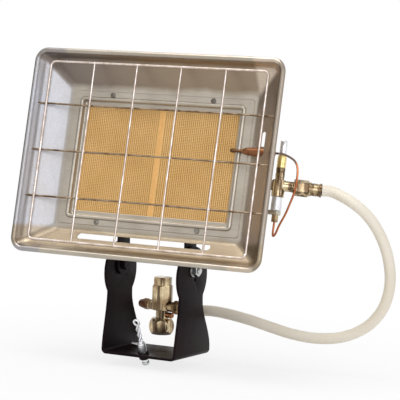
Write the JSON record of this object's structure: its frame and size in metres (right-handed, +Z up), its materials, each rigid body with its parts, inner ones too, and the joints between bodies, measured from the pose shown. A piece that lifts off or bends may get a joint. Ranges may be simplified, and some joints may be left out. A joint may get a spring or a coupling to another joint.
{
  "type": "mobile gas radiant heater",
  "caption": "Tilting gas radiant heater head with ceramic plaques in a sheet steel reflector, on a U bracket that clamps to a gas bottle, with hose and bottle connector.",
  "frame": {"origin": "middle of the bracket's width at the underside of its base plate, where it stands on the gas bottle", "axes": "+Z up, the head faces -Y, +X is to the right for a viewer in front who looks at the plaques, on the valve's side"},
  "size_m": [0.4425, 0.1647, 0.3713],
  "materials": {
    "reflector_steel": "satin, heat-tinted",
    "guard_wire": "satin",
    "ceramic": "matte, perforated",
    "ceramic_joint": "matte",
    "ceramic_fibre": "matte",
    "brass": "satin",
    "bronze": "dull",
    "copper": "satin",
    "black_paint": "satin",
    "zinc_steel": "zinc plated",
    "chrome": "bright",
    "rubber": "matte",
    "hose_rubber": "satin",
    "clip_steel": "dull"
  },
  "bodies": {
    "bracket": {"u_bracket": "black_paint", "clamp_boss": "black_paint", "connector_body": "brass", "connector_cap": "bronze", "connector_plug": "copper", "connector_nipple": "brass", "connector_ferrule": "brass", "seal_washer": "rubber", "gas_hose": "hose_rubber"},
    "head": {"reflector_pan": "reflector_steel", "burner_frame": "reflector_steel", "plenum_box": "reflector_steel", "baffle_plate": "reflector_steel", "mixing_tube": "reflector_steel", "thermocouple_bracket": "reflector_steel", "guard_loop": "guard_wire", "guard_upright_1": "guard_wire", "guard_upright_2": "guard_wire", "guard_upright_3": "guard_wire", "guard_upright_4": "guard_wire", "guard_crossbar_1": "guard_wire", "guard_crossbar_2": "guard_wire", "guard_crossbar_3": "guard_wire", "frame_screws": "zinc_steel", "valve_spring": "zinc_steel", "magnet_housing": "zinc_steel", "magnet_unit": "zinc_steel", "pivot_bolts": "zinc_steel", "pivot_washers": "zinc_steel", "pivot_nuts": "zinc_steel", "plaque_left": "ceramic", "plaque_right": "ceramic", "plaque_joint": "ceramic_joint", "plaque_gasket": "ceramic_fibre", "injector_holder": "brass", "injector_jet": "brass", "valve_body": "brass", "valve_bonnet": "brass", "valve_collar": "brass", "lead_nut": "brass", "inlet_nut": "brass", "inlet_nipple": "brass", "inlet_ferrule": "brass", "thermocouple_nut": "brass", "thermocouple_tip": "bronze", "thermocouple_body": "copper", "thermocouple_lead": "copper", "tilt_lugs": "black_paint", "valve_clip": "clip_steel"},
    "button": {"valve_button": "chrome", "valve_disc": "rubber"},
    "clamp_pad": {"clamp_cap": "zinc_steel"},
    "screw": {"clamp_screw": "zinc_steel", "clamp_bar": "zinc_steel", "clamp_handle": "zinc_steel"},
    "coupling": {"coupling_nut": "brass"}
  },
  "joints": [
    {"name": "head_tilt", "type": "hinge", "parent": "bracket", "child": "head", "pos_m": [0, -0.006, 0.105], "axis": [-1, 0, 0], "range_deg": [-30, 45], "deforming": ["gas_hose"]},
    {"name": "button_press", "type": "slide", "parent": "head", "child": "button", "axis": [0, -0.1908, -0.9816], "range_m": [0, 0.005], "stiffness_N_per_m": 500, "springref_m": -0.004, "deforming": ["valve_spring"]},
    {"name": "clamp_feed", "type": "slide", "parent": "bracket", "child": "clamp_pad", "axis": [0, -0.454, 0.891], "range_m": [0, 0.00374]},
    {"name": "clamp_turn", "type": "hinge", "parent": "clamp_pad", "child": "screw", "pos_m": [0, -0.027, 0.0015], "axis": [0, -0.454, 0.891], "range_deg": [0, 1080]},
    {"name": "coupling_spin", "type": "hinge", "parent": "bracket", "child": "coupling", "pos_m": [-0.037, 0.08, 0.021], "axis": [0, 0, 1], "continuous": true}
  ],
  "couplings": [
    {"joint": "clamp_turn", "follows": "clamp_feed", "rad_per_m": 5026.5}
  ]
}
